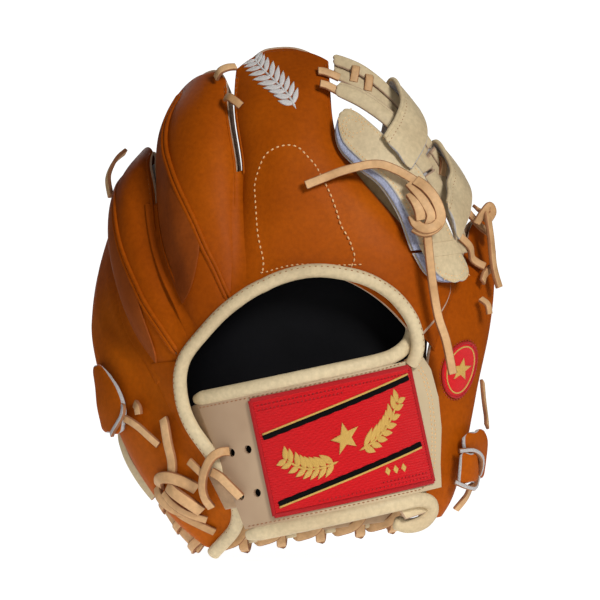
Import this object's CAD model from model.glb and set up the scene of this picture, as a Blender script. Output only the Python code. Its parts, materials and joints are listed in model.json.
"""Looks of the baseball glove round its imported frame.

Tables are millimetres of the flat layout: u across from the little finger to the thumb, v up to the
fingertips, w outward from the pocket. bend() curls them into the glove's frame."""
import json
import math

import bpy
import numpy as np
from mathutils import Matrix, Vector

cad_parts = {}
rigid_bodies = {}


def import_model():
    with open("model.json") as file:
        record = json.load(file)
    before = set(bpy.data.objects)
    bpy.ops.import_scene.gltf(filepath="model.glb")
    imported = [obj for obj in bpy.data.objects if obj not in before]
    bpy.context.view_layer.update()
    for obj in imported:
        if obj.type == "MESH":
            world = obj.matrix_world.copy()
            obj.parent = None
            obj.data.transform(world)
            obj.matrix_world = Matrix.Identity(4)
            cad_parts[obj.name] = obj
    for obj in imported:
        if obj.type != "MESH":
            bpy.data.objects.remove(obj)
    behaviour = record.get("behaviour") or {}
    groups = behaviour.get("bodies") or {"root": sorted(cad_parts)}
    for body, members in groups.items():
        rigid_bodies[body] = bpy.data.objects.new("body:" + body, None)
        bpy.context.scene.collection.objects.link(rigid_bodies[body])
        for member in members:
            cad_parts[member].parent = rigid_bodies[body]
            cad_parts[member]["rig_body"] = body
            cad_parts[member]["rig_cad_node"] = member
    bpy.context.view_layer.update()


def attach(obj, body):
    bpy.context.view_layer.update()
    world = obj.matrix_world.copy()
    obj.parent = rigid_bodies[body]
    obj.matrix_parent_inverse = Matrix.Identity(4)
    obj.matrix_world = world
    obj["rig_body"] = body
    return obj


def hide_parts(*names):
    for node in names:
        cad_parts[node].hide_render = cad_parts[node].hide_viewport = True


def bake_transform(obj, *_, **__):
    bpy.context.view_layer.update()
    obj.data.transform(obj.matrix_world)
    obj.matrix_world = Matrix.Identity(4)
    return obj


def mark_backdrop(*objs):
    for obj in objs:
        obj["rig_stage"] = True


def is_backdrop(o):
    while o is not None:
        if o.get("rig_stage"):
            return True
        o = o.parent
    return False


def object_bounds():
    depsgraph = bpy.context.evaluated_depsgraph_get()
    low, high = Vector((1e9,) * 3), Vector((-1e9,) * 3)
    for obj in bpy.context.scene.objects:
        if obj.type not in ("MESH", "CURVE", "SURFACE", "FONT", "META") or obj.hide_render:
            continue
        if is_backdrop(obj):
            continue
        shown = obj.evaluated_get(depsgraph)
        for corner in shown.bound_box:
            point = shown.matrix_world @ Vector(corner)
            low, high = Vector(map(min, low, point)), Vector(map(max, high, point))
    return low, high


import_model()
MM = 0.001

# ---- camera first: level with the glove's middle, a long lens from the back of the hand ----
CAMERA_FAR = 3.0
PICTURE_WIDE = 0.312
camera_data = bpy.data.cameras.new("camera")
camera_data.sensor_width = 36
camera_data.lens = 36 * CAMERA_FAR / PICTURE_WIDE
camera_data.clip_end = 30
camera = bpy.data.objects.new("camera", camera_data)
bpy.context.scene.collection.objects.link(camera)
camera.location = (0, -CAMERA_FAR, 0.0234)
camera.rotation_euler = (math.radians(90), 0, 0)
bpy.context.scene.camera = camera


# ================= flat layout to glove =================
FLAT_PINKY, FLAT_THUMB = 18.0, 22.0
CURL_PINKY, CURL_THUMB, CURL_FAR = 66.0, 70.0, 140.0
TURN_PINKY, TURN_THUMB = math.radians(80), math.radians(62)
TIPS_FROM, CURL_TIPS = 50.0, 190.0
HEEL_FROM, CURL_HEEL = -40.0, 300.0
POCKET_Y = 25.0


def arc_walk(s, near, turn):
    length = near * turn
    a = np.where(s <= length, s / near, turn + (s - length) / CURL_FAR)
    a1 = np.minimum(a, turn)
    x = near * np.sin(a1) + np.where(a > turn, CURL_FAR * (np.sin(a) - np.sin(turn)), 0)
    y = near * (1 - np.cos(a1)) + np.where(a > turn, CURL_FAR * (np.cos(turn) - np.cos(a)), 0)
    return a, x, y


def bend(p):
    """Flat-layout points (..., 3) in mm to glove-frame points in metres."""
    p = np.asarray(p, float)
    u, v, w = p[..., 0], p[..., 1], p[..., 2]
    la, lx, ly = arc_walk(np.maximum(-FLAT_PINKY - u, 0), CURL_PINKY, TURN_PINKY)
    ra, rx, ry = arc_walk(np.maximum(u - FLAT_THUMB, 0), CURL_THUMB, TURN_THUMB)
    left, right = u < -FLAT_PINKY, u > FLAT_THUMB
    a = np.where(left, -la, np.where(right, ra, 0))
    x = np.where(left, -FLAT_PINKY - lx, np.where(right, FLAT_THUMB + rx, u))
    y = np.where(left, ly, np.where(right, ry, 0))
    tips, heel = np.maximum(v - TIPS_FROM, 0) / CURL_TIPS, np.maximum(HEEL_FROM - v, 0) / CURL_HEEL
    b = tips - heel
    z = np.where(v > TIPS_FROM, TIPS_FROM + CURL_TIPS * np.sin(tips),
                 np.where(v < HEEL_FROM, HEEL_FROM - CURL_HEEL * np.sin(heel), v))
    c = CURL_TIPS * (1 - np.cos(tips)) + CURL_HEEL * (1 - np.cos(heel))
    n = np.stack([np.sin(a) * np.cos(b), -np.cos(a) * np.cos(b), np.sin(b)], -1)
    base = np.stack([x - c * np.sin(a), POCKET_Y + y + c * np.cos(a), z], -1)
    return (base + w[..., None] * n) * MM


def outward(p):
    p = np.asarray(p, float)
    up = p.copy()
    up[..., 2] += 1
    return (bend(up) - bend(p)) / MM


def crom(rows, x):
    """Points on the Catmull-Rom curve through the rows of a table; x runs from 0 to len - 1."""
    rows, x = np.asarray(rows, float), np.asarray(x, float)
    n = len(rows) - 1
    i = np.clip(np.floor(x).astype(int), 0, n - 1)
    f = (x - i)[..., None]
    a, b, c, d = rows[np.maximum(i - 1, 0)], rows[i], rows[i + 1], rows[np.minimum(i + 2, n)]
    return 0.5 * (2 * b + (c - a) * f + (2 * a - 5 * b + 4 * c - d) * f**2 + (3 * b - a - 3 * c + d) * f**3)


def smooth(rows, count):
    return crom(rows, np.linspace(0, len(rows) - 1, count))


# ================= materials =================
def material(name, slot_base, rough=0.5, specular=0.5, sheen=0.0, coat=0.0, coat_rough=0.3):
    m = bpy.data.materials.new(name)
    m.use_nodes = True
    b = m.node_tree.nodes["Principled BSDF"]
    b.inputs["Base Color"].default_value = (*slot_base, 1)
    b.inputs["Roughness"].default_value = rough
    b.inputs["Specular IOR Level"].default_value = specular
    b.inputs["Sheen Weight"].default_value = sheen
    b.inputs["Coat Weight"].default_value = coat
    b.inputs["Coat Roughness"].default_value = coat_rough
    return m, m.node_tree, b


def coordinates(tree, use_uv=False):
    return tree.nodes.new("ShaderNodeTexCoord").outputs["UV" if use_uv else "Object"]


def noise(tree, where, scale, detail=4.0, rough=0.55):
    n = tree.nodes.new("ShaderNodeTexNoise")
    n.inputs["Scale"].default_value = scale
    n.inputs["Detail"].default_value = detail
    n.inputs["Roughness"].default_value = rough
    tree.links.new(where, n.inputs["Vector"])
    return n.outputs["Fac"]


def ramp(tree, value, stops):
    r = tree.nodes.new("ShaderNodeValToRGB")
    r.color_ramp.elements[0].position, r.color_ramp.elements[0].color = stops[0][0], (*stops[0][1], 1)
    r.color_ramp.elements[1].position, r.color_ramp.elements[1].color = stops[-1][0], (*stops[-1][1], 1)
    for at, color in stops[1:-1]:
        r.color_ramp.elements.new(at).color = (*color, 1)
    tree.links.new(value, r.inputs["Fac"])
    return r.outputs["Color"]


def mix(tree, fac, a, b, kind="MIX"):
    m = tree.nodes.new("ShaderNodeMix")
    m.data_type, m.blend_type = "RGBA", kind
    for socket, value in ((m.inputs[0], fac), (m.inputs[6], a), (m.inputs[7], b)):
        if hasattr(value, "is_linked"):
            tree.links.new(value, socket)
        else:
            socket.default_value = value if isinstance(value, float) else (*value, 1)
    return m.outputs[2]


def bump(tree, shader, layers):
    """Stacks bumps: each layer is a height output, its strength and its depth in metres."""
    last = None
    for height, strength, depth in layers:
        n = tree.nodes.new("ShaderNodeBump")
        n.inputs["Strength"].default_value = strength
        n.inputs["Distance"].default_value = depth
        tree.links.new(height, n.inputs["Height"])
        if last is not None:
            tree.links.new(last, n.inputs["Normal"])
        last = n.outputs["Normal"]
    tree.links.new(last, shader.inputs["Normal"])


def voronoi(tree, where, scale, feature="F1"):
    n = tree.nodes.new("ShaderNodeTexVoronoi")
    n.feature = feature
    n.inputs["Scale"].default_value = scale
    tree.links.new(where, n.inputs["Vector"])
    return n.outputs["Distance"]


def leather(name, light, mid, dark, rough=0.42, grain=0.25, coat=0.12, drift=9.0, specular=0.5):
    m, t, b = material(name, mid, rough, specular, 0.0, coat, 0.32)
    where = coordinates(t)
    tone = ramp(t, noise(t, where, drift, 3.0), [(0.3, dark), (0.5, mid), (0.72, light)])
    speck = ramp(t, noise(t, where, 420.0, 5.0), [(0.3, (0.86, 0.86, 0.86)), (0.7, (1.06, 1.06, 1.06))])
    t.links.new(mix(t, 1.0, tone, speck, "MULTIPLY"), b.inputs["Base Color"])
    pores = voronoi(t, where, 1500.0, "DISTANCE_TO_EDGE")
    bump(t, b, [(noise(t, where, 55.0, 3.0), 0.35, 0.0008), (pores, grain, 0.00018),
                (noise(t, where, 1100.0, 2.0), grain, 0.00012)])
    return m


def fabric(name, base, dark, scale=900.0, strength=0.5, rough=0.85, sheen=0.2, specular=0.2):
    m, t, b = material(name, base, rough, specular, sheen)
    where = coordinates(t)
    t.links.new(ramp(t, noise(t, where, scale, 3.0), [(0.3, dark), (0.7, base)]), b.inputs["Base Color"])
    bump(t, b, [(noise(t, where, scale, 4.0), strength, 0.0003),
                (voronoi(t, where, scale * 1.7), strength, 0.0002)])
    return m


def embroidery(name, base, dark, thread=0.55, rough=0.5, across=False, specular=0.22):
    """Satin stitching: fine threads from the UV map, which is in millimetres."""
    m, t, b = material(name, base, rough, specular, specular / 3)
    where = coordinates(t, True)
    w = t.nodes.new("ShaderNodeTexWave")
    w.bands_direction = "X" if across else "Y"
    w.inputs["Scale"].default_value = 2 * math.pi / 20 / thread
    w.inputs["Distortion"].default_value = 0.6
    w.inputs["Detail"].default_value = 1.0
    w.inputs["Detail Scale"].default_value = 0.6
    t.links.new(where, w.inputs["Vector"])
    t.links.new(ramp(t, w.outputs["Fac"], [(0.1, dark), (0.75, base)]), b.inputs["Base Color"])
    bump(t, b, [(w.outputs["Fac"], 0.7, 0.00025), (noise(t, coordinates(t), 2500.0, 2.0), 0.3, 0.0001)])
    return m


TAN = leather("tan_leather", (0.47, 0.104, 0.003), (0.37, 0.072, 0.0015), (0.25, 0.043, 0.001), 0.5, 0.25,
              0.0, 9.0, 0.06)
TAN_DARK = leather("tan_leather_gusset", (0.36, 0.085, 0.012), (0.28, 0.060, 0.007), (0.18, 0.034, 0.003),
                   0.5, 0.25, 0.0, 14.0, 0.1)
CREAM = leather("cream_leather", (0.72, 0.59, 0.37), (0.64, 0.51, 0.31), (0.54, 0.41, 0.24), 0.5, 0.2, 0.0,
                14.0, 0.15)
BEIGE = leather("beige_leather", (0.55, 0.37, 0.22), (0.48, 0.31, 0.18), (0.41, 0.25, 0.14), 0.55, 0.3, 0.0,
                14.0, 0.15)
LACE = leather("lace_leather", (0.74, 0.46, 0.23), (0.64, 0.38, 0.18), (0.48, 0.26, 0.11), 0.52, 0.3, 0.0,
               40.0, 0.2)
LACE_EDGE = leather("lace_raw_edge", (0.42, 0.20, 0.09), (0.33, 0.14, 0.06), (0.24, 0.09, 0.04), 0.75, 0.5,
                    0.0, 60.0, 0.2)
RAW = fabric("leather_raw_side", (0.52, 0.36, 0.24), (0.40, 0.26, 0.16), 700.0, 0.6)
FELT = fabric("blue_grey_felt", (0.42, 0.44, 0.56), (0.26, 0.28, 0.38), 900.0, 0.9)
GREY_EDGE = fabric("grey_raw_edge", (0.50, 0.48, 0.47), (0.36, 0.34, 0.33), 1100.0, 0.7)
BLACK = leather("black_lining", (0.005, 0.005, 0.006), (0.003, 0.003, 0.004), (0.0015, 0.0015, 0.002), 0.6,
                0.2, 0.0, 12.0, 0.08)
THREAD_TAN = fabric("tan_thread", (0.95, 0.62, 0.30), (0.70, 0.38, 0.14), 2500.0, 0.4, 0.6)
THREAD_BROWN = fabric("brown_thread", (0.40, 0.18, 0.07), (0.24, 0.09, 0.03), 2500.0, 0.4, 0.6)
THREAD_RED = fabric("red_thread", (0.62, 0.02, 0.02), (0.34, 0.01, 0.01), 2500.0, 0.4, 0.6)
RED_RIB = embroidery("red_embroidery", (0.86, 0.010, 0.016), (0.40, 0.002, 0.005), 0.6, 0.5, True)
RED_EDGE = embroidery("red_satin_border", (0.60, 0.008, 0.012), (0.26, 0.002, 0.004), 0.45, 0.5)
GOLD = embroidery("gold_embroidery", (0.82, 0.52, 0.13), (0.42, 0.22, 0.04), 0.5, 0.42)
BLACK_THREAD = embroidery("black_embroidery", (0.004, 0.004, 0.004),
                          (0.001, 0.001, 0.001), 0.5, 0.6, False, 0.05)
WHITE_THREAD = embroidery("white_embroidery", (0.84, 0.82, 0.80), (0.55, 0.50, 0.46), 0.5, 0.5)


# ================= mesh makers =================
def make_mesh(name, verts, faces, mats, face_mats=None, uvs=None, sharp=False):
    data = bpy.data.meshes.new(name)
    data.from_pydata([tuple(v) for v in verts], [], faces)
    for m in mats:
        data.materials.append(m)
    if face_mats is not None:
        data.polygons.foreach_set("material_index", np.asarray(face_mats, np.int32))
    if uvs is not None:
        layer = data.uv_layers.new(name="UVMap")
        loops = np.zeros(len(data.loops), np.int32)
        data.loops.foreach_get("vertex_index", loops)
        layer.data.foreach_set("uv", np.asarray(uvs, np.float32)[loops].ravel())
    data.polygons.foreach_set("use_smooth", [not sharp] * len(data.polygons))
    data.update()
    obj = bpy.data.objects.new(name, data)
    bpy.context.scene.collection.objects.link(obj)
    return obj


def edge_samples(length, radius, count):
    """Positions 0..1 along a length with rounded ends, and the share of full thickness at each."""
    radius = min(radius, length * 0.45)
    a = np.linspace(0, math.pi / 2, 5)
    lead = radius * (1 - np.cos(a)) / length
    middle = np.linspace(lead[-1], 1 - lead[-1], count)[1:-1]
    k = np.concatenate([lead, middle, 1 - lead[::-1]])
    h = np.concatenate([np.sin(a), np.ones(len(middle)), np.sin(a)[::-1]])
    return k, h


def pillow(name, place, width, length, thick, across, along, mats, detail=None):
    """A sheet with rounded edges.

    place(K, T) gives the middle surface in metres; mats are face, back and edge."""
    k, hk = edge_samples(width, thick / 2, across)
    t, ht = edge_samples(length, thick / 2, along)
    K, T = np.meshgrid(k, t, indexing="ij")
    P = place(K, T)
    e = 1e-3
    n = np.cross(place(K + e, T) - place(K - e, T), place(K, T + e) - place(K, T - e))
    n /= np.maximum(np.linalg.norm(n, axis=-1, keepdims=True), 1e-12)
    H = np.outer(hk, ht)[..., None] * thick / 2 * MM
    extra = 0 if detail is None else detail(K, T)[..., None] * MM * (H / (thick / 2 * MM))
    top, bottom = P + n * (H + extra), P - n * H
    rows, cols = K.shape
    verts = np.concatenate([top.reshape(-1, 3), bottom.reshape(-1, 3)])
    ids = np.arange(rows * cols).reshape(rows, cols)
    low = ids + rows * cols
    rim = np.zeros_like(ids, bool)
    rim[0], rim[-1], rim[:, 0], rim[:, -1] = True, True, True, True
    low = np.where(rim, ids, low)
    uvs = np.stack([K * width, T * length], -1).reshape(-1, 2)
    uvs = np.concatenate([uvs, uvs])
    faces, kinds = [], []
    near = np.minimum(np.minimum.outer(hk, np.ones(cols)), np.minimum.outer(np.ones(rows), ht))
    for i in range(rows - 1):
        for j in range(cols - 1):
            edge = min(near[i, j], near[i + 1, j + 1], near[i + 1, j], near[i, j + 1]) < 0.8
            faces.append((int(ids[i, j]), int(ids[i + 1, j]), int(ids[i + 1, j + 1]), int(ids[i, j + 1])))
            kinds.append(2 if edge else 0)
            faces.append((int(low[i, j]), int(low[i, j + 1]), int(low[i + 1, j + 1]), int(low[i + 1, j])))
            kinds.append(2 if edge else 1)
    mats = list(mats) if isinstance(mats, (list, tuple)) else [mats]
    mats = (mats * 3)[:3]
    return make_mesh(name, verts, faces, mats, kinds, uvs)


def sweep(name, points, normals, section, mats, edge_sides=(), caps=True, scale=None):
    """A closed sweep of a section [across, out] in mm along points in metres."""
    points, normals, section = np.asarray(points), np.asarray(normals, float), np.asarray(section, float)
    tangent = np.gradient(points, axis=0)
    tangent /= np.maximum(np.linalg.norm(tangent, axis=1, keepdims=True), 1e-12)
    side = np.cross(tangent, normals)
    side /= np.maximum(np.linalg.norm(side, axis=1, keepdims=True), 1e-12)
    out = np.cross(side, tangent)
    n, m = len(points), len(section)
    scale = np.ones(n) if scale is None else np.asarray(scale)
    rings = points[:, None] + (side[:, None] * section[None, :, :1] + out[:, None]
                               * section[None, :, 1:]) * MM * scale[:, None, None]
    step = np.concatenate([[0], np.cumsum(np.linalg.norm(np.diff(points, axis=0), axis=1))]) / MM
    round_about = np.concatenate([[0], np.cumsum(np.linalg.norm(np.diff(section, axis=0), axis=1))])
    uvs = np.stack([np.broadcast_to(round_about, (n, m)), np.broadcast_to(step[:, None], (n, m))],
                   -1).reshape(-1, 2)
    faces, kinds = [], []
    for i in range(n - 1):
        for j in range(m):
            k = (j + 1) % m
            faces.append((i * m + j, (i + 1) * m + j, (i + 1) * m + k, i * m + k))
            kinds.append(1 if j in edge_sides else 0)
    if caps:
        faces += [tuple(range(m)), tuple((n - 1) * m + j for j in reversed(range(m)))]
        kinds += [1, 1]
    mats = list(mats) if isinstance(mats, (list, tuple)) else [mats]
    return make_mesh(name, rings.reshape(-1, 3), faces, (mats * 2)[:2], kinds if len(mats) > 1 else None,
                     uvs)


def circle(d, sides=14):
    a = np.linspace(0, 2 * math.pi, sides, endpoint=False)
    return np.stack([d / 2 * np.cos(a), d / 2 * np.sin(a)], 1)


def lace_section(w, t):
    """Flat lacing with crisp but broken corners; sides 3 and 9 of its 12 are the raw edges."""
    c, x, y = 0.35, w / 2, t / 2
    return np.array([[x, -y + c], [x, y - c], [x - c, y], [x / 3, y + 0.1], [-x / 3, y + 0.1], [-x + c, y],
                     [-x, y - c], [-x, -y + c], [-x + c, -y], [-x / 3, -y], [x / 3, -y], [x - c, -y]])


RAW_SIDES = (0, 11, 1, 6, 5, 7)


def resample(points, step):
    """Points at even steps in metres along a polyline, with their indices as fractions."""
    points = np.asarray(points)
    s = np.concatenate([[0], np.cumsum(np.linalg.norm(np.diff(points, axis=0), axis=1))])
    count = max(2, int(s[-1] / step) + 1)
    at = np.linspace(0, s[-1], count)
    return np.stack([np.interp(at, s, points[:, i]) for i in range(3)], 1), np.interp(at, s,
        np.arange(len(points)))


def stitches(name, points, normals, mat, pitch=2.6, share=0.68, d=0.7, lift=0.15, slant=0.0):
    """One mesh of separate thread stitches that dip into the leather at both ends."""
    points, normals = np.asarray(points), np.asarray(normals, float)
    mids, at = resample(points, pitch * MM)
    normals = np.stack([np.interp(at, np.arange(len(points)), normals[:, i]) for i in range(3)], 1)
    tangent = np.gradient(mids, axis=0)
    tangent /= np.maximum(np.linalg.norm(tangent, axis=1, keepdims=True), 1e-12)
    side = np.cross(tangent, normals)
    side /= np.maximum(np.linalg.norm(side, axis=1, keepdims=True), 1e-12)
    out = np.cross(side, tangent)
    if slant:
        tangent = tangent * math.cos(slant) + side * math.sin(slant)
        side = np.cross(tangent, out)
    verts, faces, uvs = [], [], []
    rings, sides = 5, 6
    for p, t, s, o in zip(mids, tangent, side, out):
        base = len(verts)
        for r in range(rings):
            f = r / (rings - 1) * 2 - 1
            fat = math.sqrt(max(0.06, 1 - f * f * 0.9)) * d / 2
            centre = p + t * f * pitch * share / 2 * MM + o * (lift - 0.55 * d * f * f) * MM
            for q in range(sides):
                a = 2 * math.pi * q / sides
                verts.append(centre + (s * math.cos(a) + o * math.sin(a)) * fat * MM)
                uvs.append((q, r))
        for r in range(rings - 1):
            for q in range(sides):
                k = (q + 1) % sides
                faces.append((base + r * sides + q, base + r * sides + k, base + (r + 1) * sides + k,
                              base + (r + 1) * sides + q))
        faces.append(tuple(base + q for q in reversed(range(sides))))
        faces.append(tuple(base + (rings - 1) * sides + q for q in range(sides)))
    return make_mesh(name, verts, faces, [mat], None, uvs)


# ================= tables of the flat layout (mm) =================
LACE_W, LACE_T, PALM_T, BACK_T = 4.8, 2.2, 2.2, 2.8
INDEX = [[-29, 21, 50, 0, 28, 34, 33, 32], [-28, 38, 68, 30, 15, 33.5, 27, 24],
         [-28, 56, 49, 58, 7, 32.5, 22, 20], [-28.5, 74, 30, 84, 4, 30.5, 17, 16],
         [-29.2, 93, 18.5, 108, 1, 28, 13, 13], [-35, 120, 15.8, 134, 2, 22, 12, 12],
         [-38.5, 143, 15.5, 148, 9, 12.5, 11, 11]]
MIDDLE = [[-41, 2, -29.6, 21, 0, 34, 33, 33], [-50, 22, -28.6, 38, 0, 33.6, 27, 27],
          [-59, 40, -28.6, 56, 0, 32.5, 21, 22], [-67, 59, -29.6, 74, 1, 30, 15, 17],
          [-73, 79, -31.4, 93, 2, 27, 12, 13], [-80, 107, -38, 119, 4, 21, 12, 12],
          [-78.5, 130, -43, 137, 8, 12.5, 11, 11]]
RING = [[-51.5, -22, -45, 4, 0, 33, 32, 31.5], [-60.5, -10, -52, 23, 0, 32.5, 29, 27],
        [-74, 5, -59.6, 40, 0, 32, 23, 21], [-89, 25, -67.6, 59, 2, 29.5, 17, 15],
        [-102, 45, -74.6, 79, 3, 26.5, 12, 12], [-114, 66, -83, 93, 5, 21, 12, 12],
        [-115, 82, -87, 99, 9, 12.5, 11, 11]]
PINKY = [[-50, -103, -45.5, -105, 0, 12, 9, 10], [-66, -90, -36.5, -93, 0, 18.5, 6, 16],
         [-81, -69, -35.5, -76, 0, 25.5, 6, 22], [-92, -48, -42.5, -54, 0, 30, 6, 27],
         [-102, -28, -51, -33, 0, 32, 6, 30], [-115, -5, -61, -11, 0, 32, 7, 28],
         [-130, 16, -75, 4.5, 0, 29.5, 8, 23], [-143, 38, -90, 24.5, 1, 26, 10, 17],
         [-152, 58, -104, 45, 3, 21, 12, 12], [-151, 75, -117, 66, 9, 12.5, 11, 11]]
THUMB = [[60, -90, 77, -88, 0, 14, 13, 4], [58, -76, 81, -77, 0, 19, 17, 4],
         [56.5, -52, 87, -54, 0, 21, 19, 4], [57, -24, 95, -25, 0, 21.5, 19.5, 5],
         [59, 2, 104, 4, 0, 23, 21.5, 6], [69.5, 30, 111, 30, 0, 21.5, 21, 8],
         [84, 45, 118, 46, 2, 17, 12, 12], [92, 58, 117, 59, 8, 12.5, 11, 11]]
INDEX_FRONT = [[-28.5, 39, 71, 34, 0, 0, 6, 6], [-28.5, 58, 49, 58, 0, 0, 8, 9],
               [-28.5, 74, 30, 84, 0, 0, 10, 12], [-29.2, 93, 18.5, 108, 1, 0, 12, 12],
               [-35, 120, 15.8, 134, 2, 0, 12, 12], [-38.5, 143, 15.5, 148, 15, 0, 10.6, 10.6]]
MIDDLE_FRONT = [[-73, 39, -29.2, 39, 0, 0, 6, 6], [-72, 60, -29.2, 60, 0, 0, 8, 8],
                [-73, 79, -31.4, 93, 2, 0, 12, 12], [-80, 107, -38, 119, 4, 0, 12, 12],
                [-78.5, 130, -43, 137, 13, 0, 10.6, 10.6]]
RING_FRONT = [[-101, 35, -74.6, 39, 0, 0, 6, 6], [-106, 50, -75, 60, 0, 0, 8, 8],
              [-110, 58, -75.6, 79, 2, 0, 12, 12], [-114, 66, -83, 93, 5, 0, 12, 12],
              [-115, 82, -87, 99, 9, 0, 10.6, 10.6]]
PINKY_FRONT = [[-133, 28, -102, 34, 0, 0, 6, 6], [-143, 38, -106.8, 48, 1, 0, 8, 8],
               [-152, 58, -111, 56, 3, 0, 12, 12], [-151, 75, -117, 66, 9, 0, 10.6, 10.6]]
THUMB_FRONT = [[62.6, -88, 77, -88, 0, 0, 6, 6], [64, -76, 81, -77, 0, 0, 6, 6],
               [66.5, -52, 87, -54, 0, 0, 6, 6], [69, -24, 95, -25, 0, 0, 6, 6],
               [71.5, 2, 104, 4, 0, 0, 6, 7], [75, 30, 111, 30, 0, 0, 9, 10],
               [85, 45, 118, 46, 2, 0, 12, 12], [92, 58, 117, 59, 8, 0, 10.6, 10.6]]
PALM = [[-51, -102, 61, -88], [-58, -60, 65, -60], [-64, -20, 68.5, -20], [-69, 10, 71, 10],
        [-73.5, 38.7, 73, 33.7]]
PINKY_PALM = [[-51.6, -102, -51.6, -101], [-67, -88, -53.7, -88], [-81, -68, -57.2, -68],
              [-92, -47, -60.7, -47], [-102, -27, -63.8, -27], [-114, -4, -67.4, -4],
              [-124, 14, -70.5, 14], [-132, 27, -74, 37]]
PINKY_STIFF = [[-62, -84, -57, -84], [-84, -50, -64, -50], [-106, -8, -72, -8], [-122, 16, -80, 20]]
THUMB_STIFF = [[67, -78, 76, -78], [70, -50, 82, -52], [74, -8, 94, -8], [80, 22, 102, 22]]
OPENING = [[-44, -107, 13], [-31.5, -93, 18.5], [-29.5, -78, 25], [-36.5, -58, 30], [-45, -40, 33.5],
           [-47.6, -23, 36], [-46, -8, 37], [-39, 6, 37], [-29, 21, 37], [-16, 32.5, 37], [5, 38.5, 37],
           [25, 36.5, 37], [37.5, 28, 37], [45.5, 15, 36.5], [48.5, 3, 35.5]]
BASE_BAR = [[17.5, 110, 24, 25.5, 118, 23], [19.5, 98, 25.5, 36, 107, 25], [27, 88, 27, 47.5, 93.5, 26],
            [36, 79, 28.5, 54, 85, 27], [42.5, 66, 30.5, 60.5, 67.5, 28], [47, 49, 33.5, 67.5, 52, 28],
            [54, 31, 35, 76, 35, 27.5]]
BASE_INNER = [[22, 104, 3, 29, 112, 3], [26, 93, 3, 38, 101, 3], [34, 83, 3, 48, 89, 3],
              [43, 73, 3, 56, 80, 3], [53, 60, 3, 62, 66, 3], [62, 49, 3, 69, 53, 3],
              [71, 39, 3, 75, 41, 3]]
MIDDLE_BAR = [[18.5, 124.5, 20, 20.5, 132.5, 20], [31, 117.5, 20.5, 33.5, 127.5, 20.5],
              [43, 107, 21, 47, 116, 21], [53, 92, 20, 60, 97, 20], [62, 77, 19.5, 69, 81, 19.5],
              [70, 61, 19, 78, 63, 19], [75, 48, 18, 83, 49, 18]]
TOP_BAR = [[18.4, 138, 10, 17.6, 153, 10], [33, 131, 10, 37, 146, 10], [47, 120, 10, 54, 132, 10],
           [60, 103, 10, 67, 113, 10], [70, 88, 10, 79, 93, 10], [79, 74, 10, 89, 79, 10],
           [85, 62, 10, 95, 70, 10]]
INDEX_POST = [[38, 95, 6.2, 49, 80, 6.2], [45, 113, 5.6, 58, 95, 5.6], [50, 128, 4.6, 64, 112, 4.6],
              [51.5, 136, 5.5, 65, 120, 5.5], [52, 138, 11, 65.5, 122, 11],
              [52, 134, 16.5, 64, 116.5, 16.5], [50, 122, 23.5, 61, 107, 23.5],
              [45, 112, 27.5, 57.5, 99, 27.5], [40.5, 105, 30.3, 52, 91, 30.5],
              [38, 101, 31.6, 48, 85, 31.8]]
THUMB_POST = [[58, 72, 6.2, 68, 58, 6.2], [64, 83, 5.6, 77, 67, 5.6], [70, 97, 4.6, 85, 81, 4.6],
              [73, 104, 5.5, 88, 88, 5.5], [73.5, 105, 11, 88, 89, 11], [72.5, 98, 16.5, 86, 82, 16.5],
              [70.5, 88, 22.5, 81, 75, 23], [66, 81.5, 26, 76, 67, 27], [63.5, 76, 30.5, 70, 59, 30.8],
              [61.5, 71.5, 32.8, 66, 53.5, 33]]


def bulge(s, t):
    return np.maximum(1 - np.abs(s)**2.6, 0)**0.7 * np.maximum(1 - t**9, 0)**0.6


def on_back(ribs, s, t, sink=0.0):
    """Flat-layout place on a finger's back: s across -1..1, t along 0..1, sink into the glove."""
    s, t = np.broadcast_arrays(np.asarray(s, float), np.asarray(t, float))
    r = crom(ribs, t * (len(ribs) - 1))
    k = (s + 1) / 2
    edge = r[..., 6] * (1 - k) + r[..., 7] * k
    return np.stack([r[..., 0] * (1 - k) + r[..., 2] * k,
                     r[..., 1] * (1 - k) + r[..., 3] * k + r[..., 4] * (1 - np.abs(s)**2.4),
                     edge + (r[..., 5] - np.minimum(edge, r[..., 5])) * bulge(s, t) - sink], -1)


def folds(seed, size, reach=1.0):
    """Soft random height in mm over a panel: a few broad hollows, repeatable."""
    r = np.random.default_rng(seed)
    f, p = r.uniform(0.5, 2.6, (9, 2)), r.uniform(0, 6.28, 9)
    a = r.normal(0, 1, 9) / (0.6 + f[:, 0] * 0.5 + f[:, 1] * 0.4)

    def height(s, t):
        total = sum(a[i] * np.sin(f[i, 0] * 3.1 * s + f[i, 1] * 6.0 * t * reach + p[i]) for i in range(9))
        return size * total / 3
    return height


SKIN_T = BACK_T - 0.7
PANEL_SHARE = 0.985


def back_panel(name, ribs, mats, seed, across=44, along=90, creases=None):
    height = folds(seed, 0.5)

    def place(K, T):
        s, t = (K * 2 - 1) * PANEL_SHARE, np.clip(T, 0, 1)
        fade = (1 - np.abs(s)**6) * np.clip(t * 8, 0, 1) * np.clip((1 - t) * 8, 0, 1)
        dip = 0.35 + np.abs(height(s, t)) * fade
        if creases is not None:
            dip = dip + creases(s, t) * fade
        return bend(on_back(ribs, s, t, dip + SKIN_T / 2))
    lefts, rights = np.asarray(ribs)[:, :2], np.asarray(ribs)[:, 2:4]
    width = float(np.mean(np.linalg.norm(rights - lefts, axis=1)))
    middle = (lefts + rights) / 2
    length = float(np.sum(np.linalg.norm(np.diff(middle, axis=0), axis=1)))
    return pillow(name, place, width, length, SKIN_T, across, along, mats)


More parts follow.
